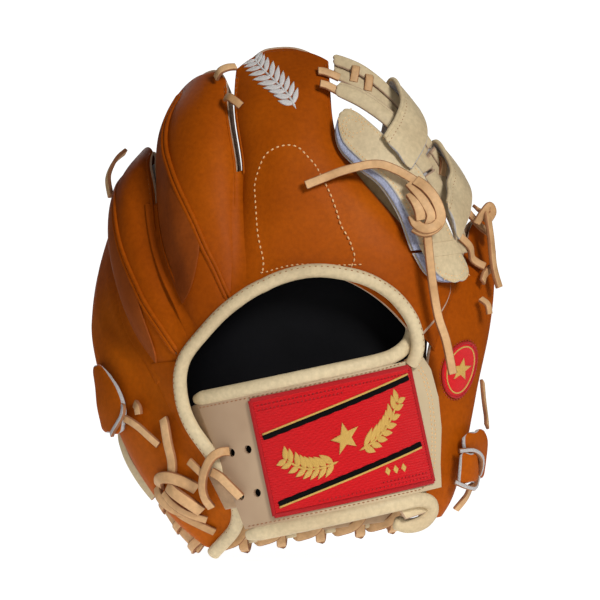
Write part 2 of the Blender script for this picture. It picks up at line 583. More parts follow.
def front_place(ribs, s, t, low):
    """Tray facing the back panel: the flat floor, the side walls and the turned-up tip."""
    r = crom(ribs, t * (len(ribs) - 1))
    share, tip_from = 0.8, 0.93
    half = (r[..., 2] - r[..., 0]) / 2
    a = np.minimum(1, np.abs(s) / share)
    k = 0.5 + np.sign(s) * a * (0.5 - low / half / 2)
    wall = r[..., 6] * (1 - k) + r[..., 7] * k - BACK_T - 0.4
    up = np.maximum(0, np.maximum((np.abs(s) - share) / (1 - share), (t - tip_from) / (1 - tip_from)))
    return np.stack([r[..., 0] * (1 - k) + r[..., 2] * k,
                     r[..., 1] * (1 - k) + r[..., 3] * k + r[..., 4] * (1 - a**2.4) * 0.97 - low
                     * np.maximum(0, (t - 0.9) * 10),
                     low + (wall - low) * up], -1)


def front_panel(name, ribs, mats):
    def place(K, T):
        return bend(front_place(ribs, K * 2 - 1, np.clip(T, 0, 1), PALM_T / 2))
    return pillow(name, place, 60, 100, PALM_T - 0.3, 40, 60, mats)


def on_strip(rows, k, t, lift=0.0):
    r = crom(rows, np.asarray(t) * (len(rows) - 1))
    k = np.asarray(k)[..., None] if np.ndim(k) else k
    p = r[..., :3] * (1 - k) + r[..., 3:6] * k
    p[..., 2] += lift
    return p


def lay(path):
    """Glove-frame points and outward normals of a flat-layout path."""
    path = np.asarray(path, float)
    return bend(path), outward(path)


def flat_lace(name, route, body, w=LACE_W - 0.4, t=LACE_T - 0.5, steps=40, replaces=(), face=LACE):
    points, normals = lay(smooth(route, steps))
    obj = sweep(name, points, normals, lace_section(w, t), (face, LACE_EDGE), RAW_SIDES)
    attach(obj, body)
    if replaces:
        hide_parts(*replaces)
    return obj


def free_lace(name, route, body, out, w=LACE_W - 0.4, t=LACE_T - 0.5, steps=40, mats=None):
    points = smooth(route, steps) * MM
    obj = sweep(name, points, np.broadcast_to(np.asarray(out, float), points.shape), lace_section(w, t),
                mats or (LACE, LACE_EDGE), RAW_SIDES)
    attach(obj, body)
    return obj


HAND, PINKY_SIDE, THUMB_SIDE = "hand", "pinky_side", "thumb_side"


def piece(obj, body, *nodes):
    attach(obj, body)
    if nodes:
        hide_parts(*nodes)
    return obj


# ================= free lace tails =================
TAILS = {
    "tail_long": ("web_lace_tail_long", HAND, [0.3, -0.95, 0],
                  [[66, -7, 58], [67.5, -7, 42], [69.5, -5, 27], [72, -2, 14], [76, 1.5, 2],
                   [79.5, 5, -15]]),
    "tail_cross": ("web_lace_tail_cross", HAND, [0.1, -0.99, 0],
                   [[62, -3, 84], [50, -4, 91], [39, -5, 94], [24, -6.5, 91], [13, -7, 87], [3, -7.5, 83]]),
    "tail_thumb": ("thumb_lace_tail", THUMB_SIDE, [0.8, -0.6, 0],
                   [[98.5, 41, 70], [100.5, 40, 56], [102, 39, 41], [105, 40, 30]]),
    "tail_ring": ("ring_lace_tail", PINKY_SIDE, [-0.9, -0.3, 0.2],
                  [[-101, 77, 79], [-102.5, 83, 89], [-99, 90, 98], [-94, 97, 103]]),
}
for tail_name, (node, body, out, route) in TAILS.items():
    mid = smooth(route, 48) * MM
    obj = sweep(tail_name, mid, np.broadcast_to(np.asarray(out, float), mid.shape),
                lace_section(LACE_W - 0.2, LACE_T - 0.2), (LACE, LACE_EDGE), RAW_SIDES)
    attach(obj, body)
    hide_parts(node)
    tuple(mid[0])
    [tuple(p) for p in mid]

# ================= backs of the fingers =================
def index_creases(s, t):
    """A broad hollow down the index back from the stitched loop to the binding, deeper at the web side."""
    return 1.1 * np.exp(-((s - 0.35)**2) * 9) * np.clip(t * 4, 0, 1) * np.clip((0.5 - t) * 5, 0, 1)


def side_hollow(at, wide, depth, low, high):
    def height(s, t):
        within = np.clip((t - low) * 6, 0, 1) * np.clip((high - t) * 6, 0, 1)
        return depth * np.exp(-((s - at) / wide)**2) * within
    return height


piece(back_panel("index_back_panel", INDEX, (TAN, RAW, RAW), 11, 60, 110, index_creases), HAND,
      "index_back")
piece(back_panel("middle_back_panel", MIDDLE, (TAN, RAW, RAW), 12, 44, 100,
                 side_hollow(-0.72, 0.36, 3.6, 0.16, 0.88)), HAND, "middle_back")
piece(back_panel("ring_back_panel", RING, (TAN, RAW, RAW), 13, 44, 100,
                 side_hollow(0.78, 0.34, 3.4, 0.05, 0.8)), PINKY_SIDE, "ring_back")
piece(back_panel("pinky_back_panel", PINKY, (TAN, RAW, RAW), 14, 44, 130,
                 side_hollow(0.5, 0.28, 1.6, 0.3, 0.85)), PINKY_SIDE, "pinky_back")
piece(back_panel("thumb_back_panel", THUMB, (TAN, RAW, RAW), 15, 44, 100,
                 side_hollow(0.2, 0.4, 0.8, 0.1, 0.7)), THUMB_SIDE, "thumb_back")
for name, ribs, body, node in (("index", INDEX_FRONT, HAND, "index_front"),
                               ("middle", MIDDLE_FRONT, HAND, "middle_front"),
                               ("ring", RING_FRONT, PINKY_SIDE, "ring_front"),
                               ("pinky", PINKY_FRONT, PINKY_SIDE, "pinky_front"),
                               ("thumb", THUMB_FRONT, THUMB_SIDE, "thumb_front")):
    piece(front_panel(name + "_front_panel", ribs, (TAN, RAW, RAW)), body, node)


MIDDLE_LINE = [[0.8, 0.05], [0.545, 0.139], [0.382, 0.246], [0.251, 0.348], [0.116, 0.455],
               [-0.068, 0.565], [-0.267, 0.671], [-0.45, 0.754], [-0.58, 0.85], [-0.64, 0.955]]
RING_LINE = [[0.02, 0.05], [0.0, 0.159], [0.06, 0.279], [0.1, 0.389], [0.07, 0.485], [0.03, 0.58],
             [-0.02, 0.68], [-0.1, 0.76], [-0.3, 0.86], [-0.5, 0.955]]


def welt_route(ribs, s, start, end, sink=0.0, count=110):
    """The seam's places: at one share across the back, or along a line of [share across, share along]."""
    t = np.linspace(start, end, count)
    if np.ndim(s):
        line = smooth(s, 200)
        s = np.interp(t, line[:, 1], line[:, 0])
    return on_back(ribs, s, t, sink)


def welt(name, ribs, s, start, end, body, replaces=(), mat=TAN, gap=1.25, d=1.7):
    """A finger seam: two rolled edges side by side with stitches down the valley between them."""
    rolls = []
    for side in (-1, 1):
        route = welt_route(ribs, s, start, end, 0.5)
        points, normals = lay(route)
        tangent = np.gradient(points, axis=0)
        across = np.cross(tangent, normals)
        across /= np.linalg.norm(across, axis=1, keepdims=True)
        ends = np.clip(np.minimum(np.linspace(0, 1, len(points)), np.linspace(1, 0, len(points))) * 30,
                       0.35, 1)
        roll = sweep(f"{name}_roll_{'ab'[side > 0]}", points + across * side * gap * 0.62 * MM, normals,
                     circle(d, 12), mat, scale=ends)
        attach(roll, body)
        rolls.append(roll)
    if replaces:
        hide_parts(*replaces)
    points, normals = lay(welt_route(ribs, s, start + 0.01, end - 0.01, 0.0))
    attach(stitches(name + "_stitches", points, normals, THREAD_BROWN, 3.0, 0.5, 0.5, -0.1), body)
    return rolls


welt("middle_welt", MIDDLE, MIDDLE_LINE, 0.05, 0.955, HAND, ("middle_welts",), TAN, 1.7, 2.5)
welt("middle_web_welt", MIDDLE, 0.93, 0.45, 0.95, HAND, (), TAN, 0.9, 1.4)
welt("index_left_welt", INDEX, -0.93, 0.6, 0.95, HAND, ("index_welts",), TAN, 0.9, 1.4)
welt("index_right_welt", INDEX, 0.93, 0.6, 0.95, HAND, (), TAN, 0.9, 1.4)
welt("ring_welt", RING, RING_LINE, 0.05, 0.955, PINKY_SIDE, ("ring_welts",), TAN, 1.7, 2.5)
welt("ring_right_welt", RING, 0.93, 0.5, 0.95, PINKY_SIDE, (), TAN, 0.9, 1.4)
welt("pinky_welt", PINKY, -0.68, 0.5, 0.955, PINKY_SIDE, ("pinky_welts",))
welt("thumb_left_welt", THUMB, -0.93, 0.72, 0.95, THUMB_SIDE, ("thumb_welts",), TAN, 0.9, 1.4)
welt("thumb_right_welt", THUMB, 0.9, 0.72, 0.95, THUMB_SIDE, (), TAN, 0.9, 1.4)


# gusset strips beside the shoulder welts: a second, darker piece of leather down the finger's left side
def gusset(name, ribs, line, start, end, body, hollow=lambda s, t: 0 * t):
    line = smooth(line, 200)

    def place(K, T):
        t = start + (end - start) * T
        reach = np.interp(t, line[:, 1], line[:, 0]) - 0.04 + 0.965
        s = -0.965 + reach * K * np.clip((t - start) * 5, 0, 1)**0.5
        return bend(on_back(ribs, s, t, -0.1 + hollow(s, t)))
    piece(pillow(name, place, 14, 100, 0.9, 16, 90, (TAN_DARK, TAN, TAN_DARK)), body)


gusset("middle_gusset", MIDDLE, MIDDLE_LINE, 0.16, 0.94, HAND,
       lambda s, t: side_hollow(-0.72, 0.36, 3.6, 0.16, 0.88)(s, t) * (1 - np.abs(s)**6))
gusset("ring_gusset", RING, RING_LINE, 0.16, 0.94, PINKY_SIDE)


# valleys between neighbouring backs: one leather runs on from finger to finger below the crotch
def valley(name, left_ribs, right_ribs, spans, body, other=None, reach=0.17, low=0.0):
    """A concave strip from one back's right side to the next one's left side.

    spans are the start and end shares along the two backs; other is the body beyond a fold."""
    (a0, a1), (b0, b1) = spans

    def place(K, T):
        left = on_back(left_ribs, 1 - reach, a0 + (a1 - a0) * T, 0.9)
        right = on_back(right_ribs, -1 + reach, b0 + (b1 - b0) * T, 0.9)
        left_edge = on_back(left_ribs, 1.0, a0 + (a1 - a0) * T)
        right_edge = on_back(right_ribs, -1.0, b0 + (b1 - b0) * T)
        floor_w = (left_edge[..., 2] + right_edge[..., 2]) / 2
        k = K[..., None]
        p = left * (1 - k) + right * k
        p[..., 2] -= (p[..., 2] - floor_w) * (0.62 + low * T) * (1 - (2 * K - 1)**2)
        return bend(p)
    obj = pillow(name, place, 9, 90, 1.0, 14, 70, TAN)
    if other is None:
        return piece(obj, body)
    side_a, side_b = place(np.array([0.0, 1.0]), np.array([0.5, 0.5]))
    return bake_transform(obj, body, other, tuple(side_a), tuple(side_b))


valley("index_middle_valley", MIDDLE, INDEX, ((0.04, 0.62), (0.04, 0.62)), HAND)
valley("middle_ring_valley", RING, MIDDLE, ((0.0, 0.62), (0.0, 0.6)), PINKY_SIDE, HAND)
valley("thumb_index_valley", INDEX, THUMB, ((0.02, 0.19), (0.54, 0.72)), HAND, THUMB_SIDE, 0.15, -0.3)
valley("ring_pinky_valley", PINKY, RING, ((0.5, 0.86), (0.08, 0.62)), PINKY_SIDE)

# the little finger's back runs on under the binding
def pinky_hem(K, T):
    left = on_back(PINKY, 0.86, 0.01 + 0.55 * T, 0.9)
    right = crom(OPENING, 0.1 + 5.9 * T) - [0, 0, 1.6]
    k = K[..., None]
    return bend(left * (1 - k) + right * k)


hem_outer, hem_inner = pinky_hem(np.array([0.1, 1.0]), np.array([0.5, 0.5]))
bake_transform(pillow("pinky_hem_leather", pinky_hem, 10, 110, 1.0, 12, 90, TAN), PINKY_SIDE, HAND,
         tuple(hem_outer), tuple(hem_inner))

# lines of dashes sewn on the index back: the loop round the index finger's base and the row above the binding
LOOP = [[-0.8, 0.12], [-0.82, 0.31], [-0.79, 0.47], [-0.77, 0.53], [-0.71, 0.58], [-0.585, 0.633],
        [-0.386, 0.647], [-0.09, 0.642], [0.13, 0.616], [0.26, 0.56], [0.317, 0.52], [0.326, 0.44],
        [0.277, 0.366], [0.195, 0.283], [0.12, 0.18], [0.2, 0.09]]
loop = smooth(LOOP, 160)
points, normals = lay(on_back(INDEX, loop[:, 0], loop[:, 1], 0.35))
piece(stitches("index_loop_stitches", points, normals, THREAD_TAN, 3.0, 0.66, 0.9, 0.2), HAND)
points, normals = lay(on_back(INDEX, np.linspace(-0.8, 0.24, 80),
                              0.045 + 0.07 * np.linspace(-0.9, 0.9, 80)**2, 0.35))
piece(stitches("index_hem_stitches", points, normals, THREAD_TAN, 2.6, 0.64, 0.85, 0.2), HAND)

# ================= palm, pads, stiffeners, linings =================
def sheet_between(rows, low, high, trim=0.0):
    def place(K, T):
        r = crom(rows, T * (len(rows) - 1))
        k = trim + (1 - 2 * trim) * K
        return bend(np.stack([r[..., 0] * (1 - k) + r[..., 2] * k, r[..., 1] * (1 - k) + r[..., 3] * k,
                              np.full_like(k, (low + high) / 2)], -1))
    return place


PAD_LOW, PAD_T = PALM_T + 0.3, 5.0
piece(pillow("palm_shell", sheet_between(PALM, 0.1, PALM_T - 0.1, 0.004), 130, 136, PALM_T - 0.2, 60, 60,
             (RAW, TAN, RAW)), HAND, "palm_leather")
pad = piece(pillow("palm_felt_pad", sheet_between(PALM, PAD_LOW + 0.1, PAD_LOW + PAD_T - 0.1, 0.055), 118,
                   136, PAD_T - 0.2, 40, 40, GREY_EDGE), HAND, "palm_pad")
piece(pillow("palm_black_lining", sheet_between(PALM, 7.9, 9.1, 0.055), 118, 136, 1.2, 40, 40, BLACK), HAND,
      "palm_lining")
piece(pillow("pinky_side_shell", sheet_between(PINKY_PALM, 0.1, PALM_T - 0.1, 0.008), 50, 128, PALM_T - 0.2,
             30, 60, (RAW, TAN, RAW)), PINKY_SIDE, "pinky_side_palm")
piece(pillow("pinky_side_board", sheet_between(PINKY_STIFF, PALM_T + 0.5, PALM_T + 4.3), 26, 102, 3.8, 14,
             40, GREY_EDGE), PINKY_SIDE, "pinky_stiffener")
piece(pillow("thumb_side_board", sheet_between(THUMB_STIFF, PALM_T + 0.5, PALM_T + 4.3), 16, 110, 3.8, 10,
             40, GREY_EDGE), THUMB_SIDE, "thumb_stiffener")


def finger_pad(name, ribs, start, end, body, node):
    def place(K, T):
        p = on_back(ribs, (K * 2 - 1) * 0.7, start + (end - start) * (0.02 + 0.96 * T))
        p[..., 2] = (PALM_T + 0.5 + 6.4) / 2
        return bend(p)
    pad = piece(pillow(name, place, 26, 70, 3.5, 16, 40, GREY_EDGE), body, node)


finger_pad("index_felt_pad", INDEX_FRONT, 0.3, 0.86, HAND, "index_pad")
finger_pad("middle_felt_pad", MIDDLE_FRONT, 0.1, 0.88, HAND, "middle_pad")
finger_pad("ring_felt_pad", RING_FRONT, 0.14, 0.84, PINKY_SIDE, "ring_pad")
finger_pad("pinky_felt_pad", PINKY_FRONT, 0.14, 0.84, PINKY_SIDE, "pinky_pad")
finger_pad("thumb_felt_pad", THUMB_FRONT, 0.76, 0.88, THUMB_SIDE, "thumb_pad")


def lining_place(K, T):
    return bend(on_back(INDEX, (K * 2 - 1) * 0.83, 0.012 + 0.4 * T, BACK_T + 1.4))


def stall_place(ribs, w):
    def place(K, T):
        p = on_back(ribs, (K * 2 - 1) * 0.9, 0.4 * T)
        p[..., 2] = w
        return bend(p)
    return place


piece(pillow("index_stall_lining", stall_place(INDEX_FRONT, 7.6), 80, 40, 0.9, 30, 20, BLACK), HAND)
piece(pillow("middle_stall_lining", stall_place(MIDDLE_FRONT, 7.6), 40, 40, 0.9, 16, 20, BLACK), HAND)
piece(pillow("back_black_lining", lining_place, 90, 45, 1.2, 40, 30, BLACK), HAND, "back_lining")

# ================= binding round the hand opening =================
points, normals = lay(smooth(OPENING + [[48.6, -5, 33.6], [47.4, -10, 31]], 160))
BINDING_D = 6.6
lumps = folds(21, 0.02)
wave = 1 + lumps(np.zeros(160), np.linspace(0, 4, 160))
piece(sweep("opening_roll", points, normals, circle(BINDING_D + 0.6, 22), CREAM, scale=wave), HAND,
      "opening_binding")
tangent = np.gradient(points, axis=0)
across = np.cross(tangent, normals)
across /= np.linalg.norm(across, axis=1, keepdims=True)
edge = points + across * -0.62 * BINDING_D / 2 * MM + normals * 0.8 * BINDING_D / 2 * MM
piece(stitches("opening_roll_stitches", edge[8:-4], (normals * 0.8 - across * 0.62)[8:-4], THREAD_BROWN,
               3.1, 0.55, 0.6, 0.25), HAND)

# ================= wrist strap =================
STRAP_R, STRAP_T, STRAP_H, LEAN = 86.0, 3.2, 68.0, math.radians(12)
STRAP_MIDDLE = np.array([9.0, 66.0, -53.0])


def on_strap(angle, z, r):
    """Glove-frame metres of a place on the strap: degrees round from its middle, height and radius in mm."""
    a = np.radians(np.asarray(angle, float))
    a, z, r = np.broadcast_arrays(a, np.asarray(z, float), np.asarray(r, float))
    x, y = r * np.sin(a), -r * np.cos(a)
    p = np.stack([x * math.cos(LEAN) - z * math.sin(LEAN), y, x * math.sin(LEAN) + z * math.cos(LEAN)], -1)
    return (p + STRAP_MIDDLE) * MM


def strap_out(angle):
    a = np.radians(np.asarray(angle, float))
    return np.stack([np.sin(a) * math.cos(LEAN), -np.cos(a), np.sin(a) * math.sin(LEAN)], -1)


def strap_line(corners, r, step=1.5):
    """Points on the strap along lines between [degrees, height] corners, with their outward directions."""
    corners = np.asarray(corners, float)
    flat, _ = resample(np.stack([corners[:, 0] * STRAP_R * math.pi / 180, corners[:, 1], corners[:, 0] * 0],
                                1), step)
    angle = flat[:, 0] / STRAP_R * 180 / math.pi
    return on_strap(angle, flat[:, 1], r), strap_out(angle)


def strap_quad(name, corners, thick, r, mats, across=40, along=30, detail=None):
    """A sheet on the strap: [degrees, height] corners low left, low right, high right, high left."""
    c = np.asarray(corners, float)

    def place(K, T):
        K, T = K[..., None], T[..., None]
        p = (c[0] * (1 - K) + c[1] * K) * (1 - T) + (c[3] * (1 - K) + c[2] * K) * T
        return on_strap(p[..., 0], p[..., 1], r)
    w = float(np.linalg.norm((c[1] - c[0]) * [STRAP_R * math.pi / 180, 1]))
    return pillow(name, place, w, float(np.linalg.norm(c[3] - c[0])), thick, across, along, mats, detail)


strap = bpy.data.objects.get("wrist_strap")


# the strap keeps its own solid, with its punched holes: beige by the lacing, cream past the patch
def strap_leather():
    m, t, b = material("strap_leather", (0.55, 0.37, 0.22), 0.52, 0.18)
    where = coordinates(t)
    split = t.nodes.new("ShaderNodeSeparateXYZ")
    t.links.new(where, split.inputs["Vector"])
    side = t.nodes.new("ShaderNodeMapRange")
    side.inputs["From Min"].default_value, side.inputs["From Max"].default_value = -0.030, 0.045
    t.links.new(split.outputs["X"], side.inputs["Value"])
    beige = ramp(t, noise(t, where, 26.0, 3.0), [(0.3, (0.40, 0.265, 0.165)), (0.7, (0.48, 0.335, 0.215))])
    cream = ramp(t, noise(t, where, 20.0, 3.0), [(0.3, (0.50, 0.385, 0.235)), (0.7, (0.58, 0.46, 0.29))])
    t.links.new(mix(t, side.outputs["Result"], beige, cream), b.inputs["Base Color"])
    bump(t, b, [(noise(t, where, 90.0, 3.0), 0.3, 0.0006),
                (voronoi(t, where, 1500.0, "DISTANCE_TO_EDGE"), 0.22, 0.00016)])
    return m


strap.data.materials.clear()
strap.data.materials.append(strap_leather())


def strap_roll(name, path, node, steps=150):
    """A rolled binding along a path of [degrees, height, radius] on the strap."""
    path = smooth(path, steps)
    a = np.linspace(0, 2 * math.pi, 22, endpoint=False)
    section = np.stack([3.9 * np.cos(a), 3.3 * np.sin(a)], 1)
    ends = np.clip(np.minimum(np.arange(steps), np.arange(steps)[::-1]) / 3 * 0.25 + 0.6, 0.6, 1)
    return piece(sweep(name, on_strap(path[:, 0], path[:, 1], path[:, 2]), strap_out(path[:, 0]), section,
                       CREAM, scale=ends), HAND, node)


ROLL_Z, ROLL_R = STRAP_H / 2 + 3.2, STRAP_R - STRAP_T / 2
strap_roll("strap_top_roll", [[-42.5, ROLL_Z, ROLL_R], [-20, ROLL_Z, ROLL_R], [5, ROLL_Z, ROLL_R],
                              [28, ROLL_Z, ROLL_R],
                              [36, ROLL_Z + 1.5, ROLL_R + 0.5], [41.5, ROLL_Z + 5, ROLL_R + 1],
                              [44.4, ROLL_Z + 9.5, ROLL_R + 1.5],
                              [45.6, ROLL_Z + 14, ROLL_R + 1.5]], "strap_top_binding")
strap_roll("strap_bottom_roll", [[-32.3, -ROLL_Z, ROLL_R], [-10, -ROLL_Z, ROLL_R], [12, -ROLL_Z, ROLL_R],
                                 [26, -ROLL_Z, ROLL_R],
                                 [33, -ROLL_Z - 0.4, ROLL_R], [38, -ROLL_Z - 3.5, ROLL_R - 1],
                                 [38.6, -ROLL_Z - 8.5, ROLL_R - 3],
                                 [35, -ROLL_Z - 12.6, ROLL_R - 6], [29.5, -ROLL_Z - 12.6, ROLL_R - 9],
                                 [25, -ROLL_Z - 9, ROLL_R - 11]],
           "strap_bottom_binding")
# the strap's corner flap that the bottom roll curls round
piece(strap_quad("strap_corner_flap", [[27, -ROLL_Z - 9], [37, -ROLL_Z - 8], [39, -30], [22, -31]], 2.0,
                 ROLL_R - 3.2, (CREAM, BLACK, RAW), 24, 20), HAND)
piece(strap_quad("strap_side_leather", [[-39.5, -22], [-33, -22], [-41, 35], [-53, 33]], 1.6, STRAP_R - 2.0,
                 (BEIGE, BLACK, RAW), 20, 24), HAND)
piece(strap_quad("strap_soft_lining", [[-16.5, -29.5], [42.5, -29.5], [42.5, 29.5], [-16.5, 29.5]], 2.4,
                 STRAP_R - STRAP_T - 1.5, BLACK), HAND, "strap_lining")
for name, corners, mat, pitch in (
        ("strap_top_stitches", [[-40, 32.6], [28, 32.6], [36, 33.4], [42, 36], [46.5, 40]], THREAD_BROWN,
         2.5),
        ("strap_bottom_stitches", [[-30, -32.6], [34, -32.6], [39.5, -29]], THREAD_BROWN, 2.5),
        ("strap_end_stitches_a", [[39.5, -29], [42.6, -20], [46.2, -4], [47.8, 12], [47.0, 24], [44.4, 33]],
         THREAD_TAN, 2.2),
        ("strap_end_stitches_b", [[38.0, -28.5], [41.0, -20], [44.5, -4], [46.1, 12], [45.4, 24],
                                  [43.0, 32]], THREAD_TAN, 2.2)):
    p, n = strap_line(corners, STRAP_R + 0.05)
    piece(stitches(name, p, n, mat, pitch, 0.66, 0.55, 0.12), HAND)

# ---- the label patch: ribbed red ground, satin border, two stripes, gold embroidery ----
PATCH_R = STRAP_R + 1.3
PATCH = [[-19.5, -30], [39.5, -30], [39.5, 31], [-19.5, 31]]


def ribs(K, T):
    return 0.3 * np.sin(T * 61 / 1.35 * 2 * math.pi)


ground = strap_quad("patch_ground", PATCH, 1.1, STRAP_R + 0.6, (RED_RIB, RED_EDGE, RED_EDGE), 60, 400, ribs)
piece(ground, HAND, "label_patch")


def satin_line(name, corners, wide, high, mat, r=PATCH_R, step=1.0):
    p, n = strap_line(corners, r, step)
    a = np.linspace(0, 2 * math.pi, 12, endpoint=False)
    section = np.stack([wide / 2 * np.cos(a), high / 2 * np.sin(a)], 1)
    return piece(sweep(name, p, n, section, mat), HAND)


for i in range(4):
    satin_line(f"patch_border_{i + 1}", [PATCH[i], PATCH[(i + 1) % 4]], 2.3, 1.0, RED_EDGE)
for name, a, b in (("patch_upper", [-17.6, 11.6], [38.0, 26.4]),
                   ("patch_lower", [-17.0, -25.2], [37.4, -10.4])):
    drop = 1.25 if name == "patch_upper" else -1.25
    satin_line(name + "_black_stripe", [[a[0], a[1] - drop * 0.7], [b[0], b[1] - drop * 0.7]], 2.9, 0.8,
               BLACK_THREAD)
    satin_line(name + "_gold_stripe", [[a[0], a[1] + drop * 0.75], [b[0], b[1] + drop * 0.75]], 1.1, 0.8,
               GOLD)
for name, za, zb in (("patch_rows_high", 27.8, 25.4), ("patch_rows_low", -24.6, -27.0)):
    for i, z in enumerate((za, zb)):
        ends = ([-17, 37] if i == 0 else [-17, 12]) if z > 0 else ([20, 37] if i == 0 else [-3, 37])
        p, n = strap_line([[ends[0], z], [ends[1], z]], PATCH_R - 0.1)
        piece(stitches(f"{name}_{i + 1}", p, n, RED_EDGE, 2.1, 0.6, 0.9, 0.1, 0.35), HAND)


def satin(name, shapes, place, mat, high=0.5, body=HAND, node=None):
    """Raised satin-stitched shapes: outlines in mm, domed; place(xy, lift) puts them on their surface."""
    verts, faces, uvs = [], [], []
    for outline, slant in shapes:
        outline = np.asarray(outline, float)
        centre, m, base = outline.mean(0), len(outline), len(verts)
        c, s = math.cos(slant), math.sin(slant)
        for scale, lift in ((1.0, -0.2), (1.0, 0.45 * high), (0.86, 0.8 * high), (0.5, high)):
            ring = centre + (outline - centre) * scale
            verts += list(place(ring, np.full(m, lift)))
            uvs += [(q[0] * c + q[1] * s, -q[0] * s + q[1] * c) for q in ring]
        verts += list(place(centre[None], np.array([high])))
        uvs.append((centre[0] * c + centre[1] * s, -centre[0] * s + centre[1] * c))
        for r in range(3):
            for j in range(m):
                k = (j + 1) % m
                faces.append((base + r * m + j, base + r * m + k, base + (r + 1) * m + k,
                              base + (r + 1) * m + j))
        for j in range(m):
            faces.append((base + 3 * m + j, base + 3 * m + (j + 1) % m, base + 4 * m))
    obj = make_mesh(name, verts, faces, [mat], None, uvs)
    return piece(obj, body, *([node] if node else []))


def leaf(at, angle, length=8.0, wide=3.0, count=9):
    """A pointed leaf outline from its stem end."""
    t = np.linspace(0, 1, count)
    half = wide / 2 * np.sin(math.pi * t**0.8)
    x = np.concatenate([t, t[-2:0:-1]]) * length
    y = np.concatenate([half, -half[-2:0:-1]])
    c, s = math.cos(angle), math.sin(angle)
    return np.stack([at[0] + x * c - y * s, at[1] + x * s + y * c], 1), angle + math.pi / 2


def star(at, radius, turn=0.0, inner=0.42):
    a = np.arange(10) * math.pi / 5 + math.pi / 2 + turn
    r = np.where(np.arange(10) % 2 == 0, radius, radius * inner)
    return np.stack([at[0] + r * np.cos(a), at[1] + r * np.sin(a)], 1), 0.4


def stroke(name, path, wide, place, mat, high=0.5, body=HAND, closed=False):
    """One raised embroidered stroke, a swept half-round on its surface."""
    p = smooth(path, 12 * len(path))
    base, top = place(p, np.zeros(len(p))), place(p, np.ones(len(p)))
    a = np.linspace(0, 2 * math.pi, 10, endpoint=False)
    section = np.stack([wide / 2 * np.cos(a), high * np.sin(a)], 1)
    ends = np.clip(np.minimum(np.arange(len(p)), np.arange(len(p))[::-1]) / 4, 0.3, 1)
    return piece(sweep(name, base, top - base, section, mat, scale=None if closed else ends), body)


def on_patch(xy, lift):
    """xy in mm from the patch's middle; the motif is slanted up to the right like the stripes."""
    xy = np.asarray(xy, float)
    slant = math.radians(15)
    x = xy[:, 0]
    y = xy[:, 1] + x * math.tan(slant)
    return on_strap((x + 15) / STRAP_R * 180 / math.pi, y + 0.5, PATCH_R - 0.1 + lift)


# a generic ornament: a star between two leafy branches
for side, tag in ((-1, "left"), (1, "right")):
    stem = [[side * 6, -8.0], [side * 15, -7.0], [side * 24, -3.0], [side * 32, 5.0]]
    stroke(f"patch_stem_{tag}", stem, 1.3, on_patch, GOLD, 0.6)
    line = smooth(stem, 9)
    leaves = []
    for i in range(1, 9):
        away = math.atan2(*(line[min(i + 1, 8)] - line[i - 1])[::-1])
        for turn in (0.95, -0.95):
            size = 10.4 - 0.35 * i if turn * side > 0 else 7.6 - 0.25 * i
            leaves.append(leaf(line[i], away + turn * 0.85, size, 3.2))
    satin(f"patch_leaves_{tag}", leaves, on_patch, GOLD, 0.55)
satin("patch_star", [star((0, 1.5), 8.2)], on_patch, GOLD, 0.8)
satin("patch_diamonds", [(np.array([[x - 1.7, y], [x, y + 2.4], [x + 1.7, y], [x, y - 2.4]]), 0.0)
                         for x, y in ((21.0, -26.3), (26.0, -26.3), (31.0, -26.3))],
      lambda xy, lift: on_strap((xy[:, 0] + 15) / STRAP_R * 180 / math.pi * 0.93, xy[:, 1] + 6.8,
                                PATCH_R - 0.1 + lift), GOLD, 0.4)


# ---- emblem on the index finger: white embroidered branch ----
def on_index(xy, lift):
    """xy in mm across and up the finger's back from the emblem's middle."""
    xy = np.asarray(xy, float)
    return bend(on_back(INDEX, -0.10 + xy[:, 0] / 27, 0.86 + xy[:, 1] / 170, 0.3 - lift))


EMBLEM = [[-12, 21], [-8, 12], [-1, 1], [5, -9], [9, -19]]
stroke("emblem_stem", EMBLEM, 1.3, on_index, WHITE_THREAD, 0.6)
line = smooth(EMBLEM, 12)
leaves = []
for i in range(1, 11):
    away = math.atan2(*(line[i + 1] - line[i - 1])[::-1])
    for turn in (0.75, -0.75):
        leaves.append(leaf(line[i], away + turn + math.pi, 11.0 - 0.3 * abs(i - 5), 3.1))
satin("emblem_leaves", leaves, on_index, WHITE_THREAD, 0.7, HAND, "index_emblem")


# ---- oval badge on the thumb ----
def on_thumb(xy, lift):
    xy = np.asarray(xy, float)
    return bend(on_back(THUMB, -0.2 + xy[:, 0] / 23, 0.487 + xy[:, 1] / 182, 0.35 - lift))


def oval(w, h, count=44):
    a = np.linspace(0, 2 * math.pi, count, endpoint=False)
    return np.stack([w * np.cos(a), h * np.sin(a)], 1)


satin("badge_ground", [(oval(9.6, 13.6), 0.0)], on_thumb, RED_RIB, 1.1, THUMB_SIDE, "thumb_badge")
loop = oval(9.6, 13.6, 45)
stroke("badge_border", np.vstack([loop, loop[:2]]), 1.5, lambda xy, lift: on_thumb(xy, lift + 0.5),
       RED_EDGE, 0.6, THUMB_SIDE, True)
loop = oval(7.6, 11.6, 45)
stroke("badge_gold_ring", np.vstack([loop, loop[:2]]), 0.8, lambda xy, lift: on_thumb(xy, lift + 0.95),
       GOLD, 0.35, THUMB_SIDE, True)
satin("badge_star", [star((0, 0), 6.0)], lambda xy, lift: on_thumb(xy, lift + 1.1), GOLD, 0.5, THUMB_SIDE)
loop = oval(10.8, 14.9, 61)
points = on_thumb(np.vstack([loop, loop[:1]]), np.full(62, 0.1))
tops = on_thumb(np.vstack([loop, loop[:1]]), np.full(62, 1.1))
piece(stitches("badge_sewing", points, tops - points, THREAD_RED, 2.0, 0.6, 0.5, 0.1), THUMB_SIDE)

# ================= web =================
BASE_T = 4.6
BASE_FOLD, BAR_FOLD, SLIT = 0.84, 0.58, 0.006


